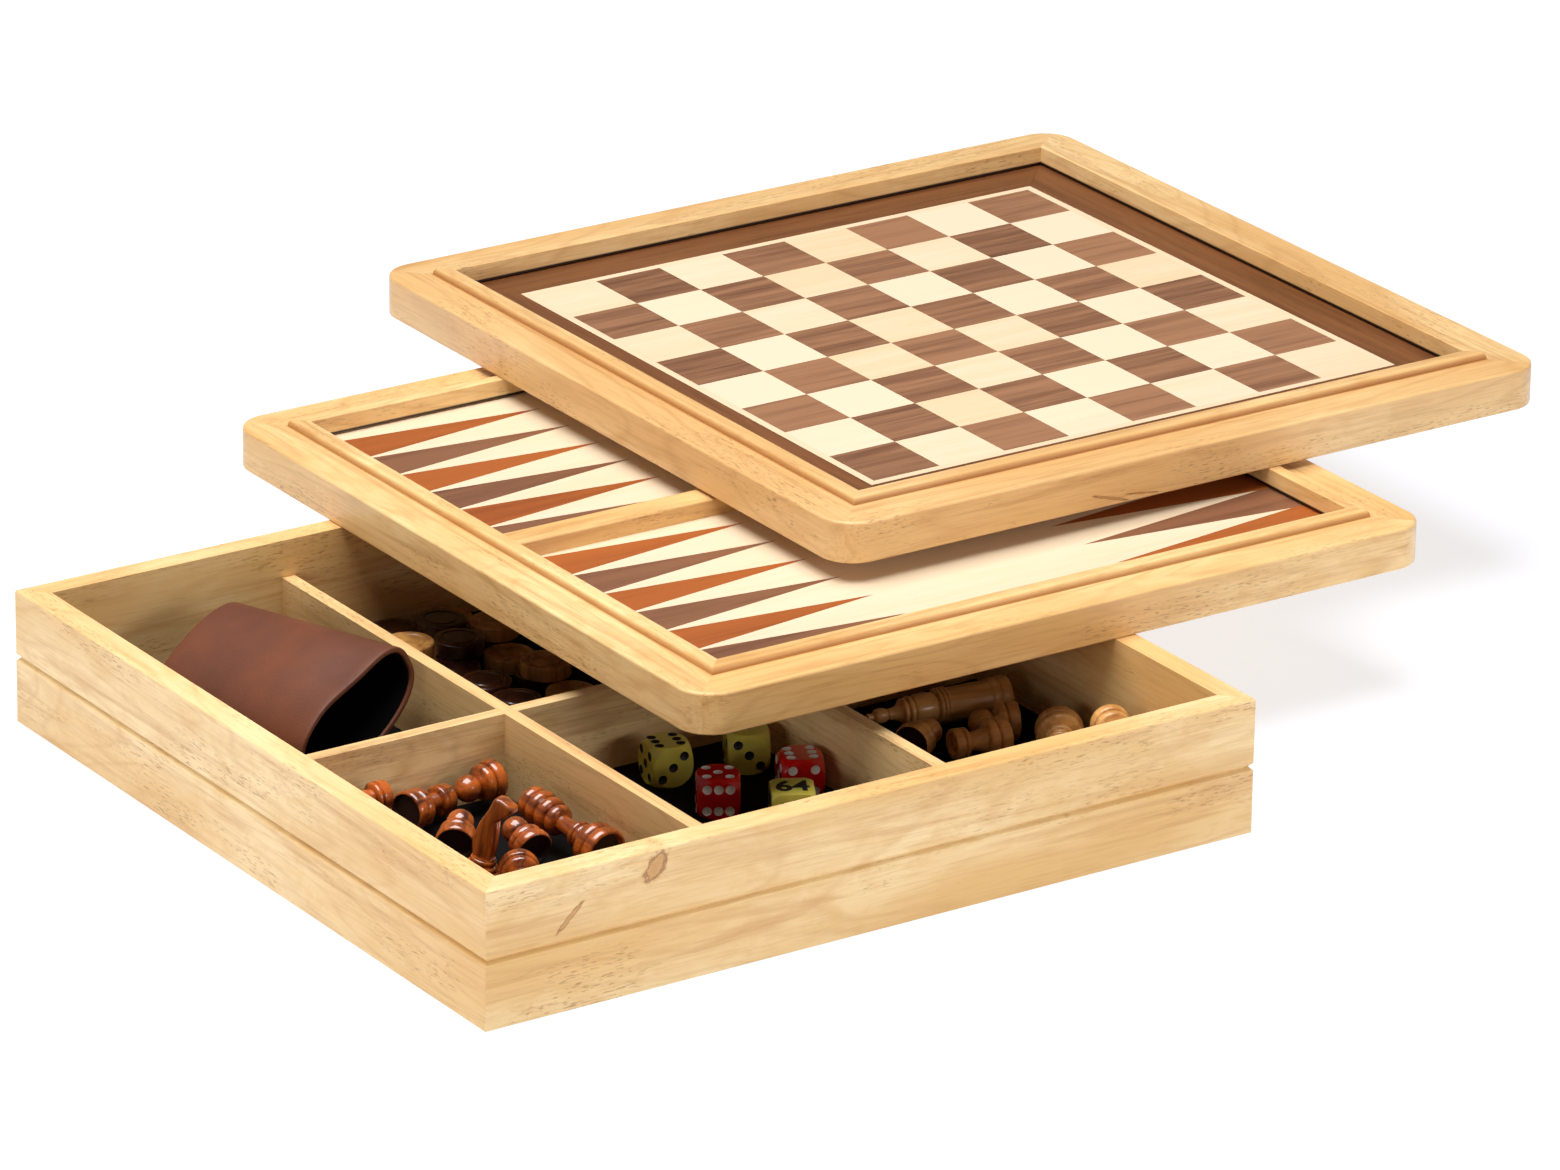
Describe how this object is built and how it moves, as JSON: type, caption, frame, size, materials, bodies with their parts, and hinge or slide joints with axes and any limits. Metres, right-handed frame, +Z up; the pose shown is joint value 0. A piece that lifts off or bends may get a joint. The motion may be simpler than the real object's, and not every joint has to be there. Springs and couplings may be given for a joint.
{
  "type": "games compendium box",
  "caption": "Square wooden games box with a divided base of chessmen, draughts, dice and cup, a slide-aside backgammon board over it and a chess board as its lid.",
  "frame": {"origin": "the middle of the base box's underside", "axes": "+Z up; +X along the base's near-right wall, the way the boards are drawn aside furthest; +Y along its near-left wall"},
  "size_m": [0.5756, 0.4744, 0.0916],
  "materials": {
    "pale_wood": "clear satin lacquer over a pale straight-grained hardwood",
    "plywood": "sanded plywood, unfinished",
    "black_felt": "matt black felt",
    "walnut_veneer": "satin lacquered walnut veneer",
    "maple_veneer": "satin lacquered pale veneer",
    "cream_veneer": "satin cream veneer",
    "russet_veneer": "satin russet veneer",
    "dark_stained_wood": "gloss lacquer over reddish brown stained wood",
    "honey_wood": "gloss lacquer over honey coloured wood",
    "light_stone": "gloss lacquered pale wood",
    "dark_stone": "gloss lacquered dark stained wood",
    "brown_leather": "smooth brown leather, satin",
    "black_lining": "matt black lining",
    "yellow_plastic": "opaque yellow gloss plastic",
    "red_plastic": "opaque red gloss plastic"
  },
  "bodies": {
    "base": {"base_wall_near_right": "pale_wood", "base_wall_far_right": "pale_wood", "base_wall_far_left": "pale_wood", "base_wall_near_left": "pale_wood", "divider_left": "pale_wood", "divider_right": "pale_wood", "divider_cross": "pale_wood", "base_floor": "plywood", "base_felt_lining": "black_felt", "light_king": "honey_wood", "light_queen": "honey_wood", "light_bishops": "honey_wood", "light_knights": "honey_wood", "light_rooks": "honey_wood", "light_pawns": "honey_wood", "draughts_light": "light_stone", "draughts_dark": "dark_stone"},
    "backgammon_board": {"backgammon_rail_near_right": "pale_wood", "backgammon_rail_far_right": "pale_wood", "backgammon_rail_far_left": "pale_wood", "backgammon_rail_near_left": "pale_wood", "backgammon_bar": "pale_wood", "backgammon_core_panel": "plywood", "backgammon_bottom_sheet": "plywood", "backgammon_walnut_points": "walnut_veneer", "backgammon_field": "cream_veneer", "backgammon_russet_points": "russet_veneer"},
    "chess_board": {"chess_rail_near_right": "pale_wood", "chess_rail_far_right": "pale_wood", "chess_rail_far_left": "pale_wood", "chess_rail_near_left": "pale_wood", "chess_core_panel": "plywood", "chess_bottom_sheet": "plywood", "chess_border": "walnut_veneer", "chess_dark_squares": "walnut_veneer", "chess_stringing": "maple_veneer", "chess_light_squares": "maple_veneer"},
    "dark_chessmen": {"dark_king": "dark_stained_wood", "dark_queen": "dark_stained_wood", "dark_bishops": "dark_stained_wood", "dark_knights": "dark_stained_wood", "dark_rooks": "dark_stained_wood", "dark_pawns": "dark_stained_wood"},
    "dice_cup": {"cup_shell": "brown_leather", "cup_lining": "black_lining", "cup_base": "brown_leather"},
    "yellow_die_1": {"yellow_die_1": "yellow_plastic"},
    "yellow_die_2": {"yellow_die_2": "yellow_plastic"},
    "red_die_1": {"red_die_1": "red_plastic"},
    "red_die_2": {"red_die_2": "red_plastic"},
    "doubling_cube": {"doubling_cube": "yellow_plastic"}
  },
  "joints": [
    {"name": "board_slide", "type": "slide", "parent": "base", "child": "backgammon_board", "axis": [0.8807, 0.4738, 0], "range_m": [-0.15409, 0.23]},
    {"name": "lid_slide", "type": "slide", "parent": "backgammon_board", "child": "chess_board", "axis": [0.8386, 0.5448, 0], "range_m": [-0.13106, 0.265]},
    {"name": "dark_chessmen_lift", "type": "slide", "parent": "base", "child": "dark_chessmen", "axis": [0, 0, 1], "range_m": [0, 0.09]},
    {"name": "dice_cup_lift", "type": "slide", "parent": "base", "child": "dice_cup", "axis": [0, 0, 1], "range_m": [0, 0.1]},
    {"name": "yellow_die_1_lift", "type": "slide", "parent": "base", "child": "yellow_die_1", "axis": [0, 0, 1], "range_m": [0, 0.028]},
    {"name": "yellow_die_2_lift", "type": "slide", "parent": "base", "child": "yellow_die_2", "axis": [0, 0, 1], "range_m": [0, 0.028]},
    {"name": "red_die_1_lift", "type": "slide", "parent": "base", "child": "red_die_1", "axis": [0, 0, 1], "range_m": [0, 0.028]},
    {"name": "red_die_2_lift", "type": "slide", "parent": "base", "child": "red_die_2", "axis": [0, 0, 1], "range_m": [0, 0.028]},
    {"name": "doubling_cube_lift", "type": "slide", "parent": "base", "child": "doubling_cube", "axis": [0, 0, 1], "range_m": [0, 0.028]}
  ]
}
